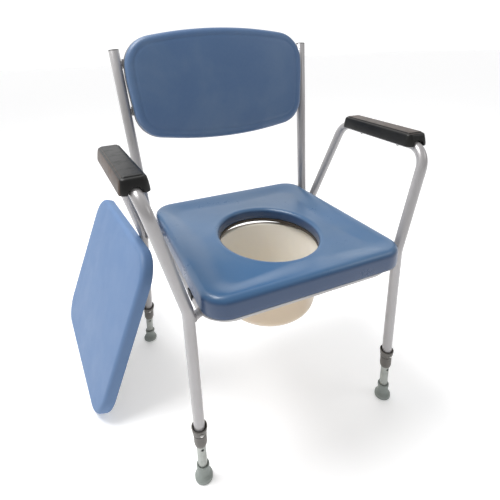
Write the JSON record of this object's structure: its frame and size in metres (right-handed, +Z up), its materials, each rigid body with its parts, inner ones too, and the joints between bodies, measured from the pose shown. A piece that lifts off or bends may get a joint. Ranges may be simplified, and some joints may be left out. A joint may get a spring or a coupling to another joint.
{
  "type": "commode chair",
  "caption": "Height-adjustable commode chair with padded seat and back, fixed arms, a pan that slides out under the seat opening, and a loose padded seat cover leaning beside it.",
  "frame": {"origin": "middle of the bounding box of the chair and its leaning cover, on the floor", "axes": "+Z up, the chair faces -Y, +X to the viewer's right"},
  "size_m": [0.8382, 0.778, 0.9055],
  "materials": {
    "frame_paint": "satin silver-grey epoxy",
    "zinc_tube": "dull zinc",
    "grey_plastic": "matte dark grey",
    "grey_rubber": "matte grey rubber",
    "black_plastic": "grained semi-gloss",
    "blue_vinyl": "steel-blue wipe-clean vinyl, semi-gloss",
    "cover_vinyl": "blue wipe-clean vinyl, matte",
    "ivory_plastic": "glossy moulded",
    "board_plastic": "light grey moulded board",
    "bright_steel": "bright"
  },
  "bodies": {
    "frame": {"side_frame_left": "frame_paint", "upright_left": "frame_paint", "upright_cap_left": "black_plastic", "rail_plug_left": "black_plastic", "pan_runner_left": "board_plastic", "arm_pad_left": "black_plastic", "arm_screw_left_front": "bright_steel", "arm_screw_left_rear": "bright_steel", "frame_stub_front_left": "frame_paint", "seat_clip_front_left": "black_plastic", "frame_stub_rear_left": "frame_paint", "seat_clip_rear_left": "black_plastic", "back_bracket_upper_left": "frame_paint", "back_screw_upper_left": "bright_steel", "back_bracket_lower_left": "frame_paint", "back_screw_lower_left": "bright_steel", "side_frame_right": "frame_paint", "upright_right": "frame_paint", "upright_cap_right": "black_plastic", "rail_plug_right": "black_plastic", "pan_runner_right": "board_plastic", "arm_pad_right": "black_plastic", "arm_screw_right_front": "bright_steel", "arm_screw_right_rear": "bright_steel", "frame_stub_front_right": "frame_paint", "seat_clip_front_right": "black_plastic", "frame_stub_rear_right": "frame_paint", "seat_clip_rear_right": "black_plastic", "back_bracket_upper_right": "frame_paint", "back_screw_upper_right": "bright_steel", "back_bracket_lower_right": "frame_paint", "back_screw_lower_right": "bright_steel", "seat_rail": "frame_paint", "back_shell": "board_plastic", "back_cushion": "blue_vinyl", "seat_base": "board_plastic", "seat_cushion": "blue_vinyl", "leg_sleeve_front_left": "grey_plastic", "lock_collar_front_left": "grey_plastic", "leg_sleeve_front_right": "grey_plastic", "lock_collar_front_right": "grey_plastic", "leg_sleeve_rear_left": "grey_plastic", "lock_collar_rear_left": "grey_plastic", "leg_sleeve_rear_right": "grey_plastic", "lock_collar_rear_right": "grey_plastic"},
    "leg_front_left": {"leg_tube_front_left": "zinc_tube", "ferrule_front_left": "grey_rubber"},
    "button_front_left": {"lock_button_front_left": "bright_steel"},
    "leg_front_right": {"leg_tube_front_right": "zinc_tube", "ferrule_front_right": "grey_rubber"},
    "button_front_right": {"lock_button_front_right": "bright_steel"},
    "leg_rear_left": {"leg_tube_rear_left": "zinc_tube", "ferrule_rear_left": "grey_rubber"},
    "button_rear_left": {"lock_button_rear_left": "bright_steel"},
    "leg_rear_right": {"leg_tube_rear_right": "zinc_tube", "ferrule_rear_right": "grey_rubber"},
    "button_rear_right": {"lock_button_rear_right": "bright_steel"},
    "pan": {"pan": "ivory_plastic"},
    "cover": {"cover_cushion": "cover_vinyl", "cover_base": "board_plastic"}
  },
  "joints": [
    {"name": "leg_front_left_slide", "type": "slide", "parent": "frame", "child": "leg_front_left", "axis": [0, 0, -1], "range_m": [-0.046, 0.092]},
    {"name": "button_front_left_press", "type": "slide", "parent": "frame", "child": "button_front_left", "axis": [0, 1, 0], "range_m": [0, 0.0037], "stiffness_N_per_m": 900, "springref_m": -0.001},
    {"name": "leg_front_right_slide", "type": "slide", "parent": "frame", "child": "leg_front_right", "axis": [0, 0, -1], "range_m": [-0.046, 0.092]},
    {"name": "button_front_right_press", "type": "slide", "parent": "frame", "child": "button_front_right", "axis": [0, 1, 0], "range_m": [0, 0.0037], "stiffness_N_per_m": 900, "springref_m": -0.001},
    {"name": "leg_rear_left_slide", "type": "slide", "parent": "frame", "child": "leg_rear_left", "axis": [-0.0282, 0.2156, -0.9761], "range_m": [-0.046, 0.092]},
    {"name": "button_rear_left_press", "type": "slide", "parent": "frame", "child": "button_rear_left", "axis": [0.0031, 0.9765, 0.2156], "range_m": [0, 0.0037], "stiffness_N_per_m": 900, "springref_m": -0.001},
    {"name": "leg_rear_right_slide", "type": "slide", "parent": "frame", "child": "leg_rear_right", "axis": [0.0282, 0.2156, -0.9761], "range_m": [-0.046, 0.092]},
    {"name": "button_rear_right_press", "type": "slide", "parent": "frame", "child": "button_rear_right", "axis": [-0.0031, 0.9765, 0.2156], "range_m": [0, 0.0037], "stiffness_N_per_m": 900, "springref_m": -0.001},
    {"name": "pan_slide", "type": "slide", "parent": "frame", "child": "pan", "axis": [0, 1, 0], "range_m": [0, 0.36]},
    {"name": "cover_lift_away", "type": "slide", "parent": "frame", "child": "cover", "axis": [-0.9922, -0.1247, 0], "range_m": [0, 0.3]}
  ]
}
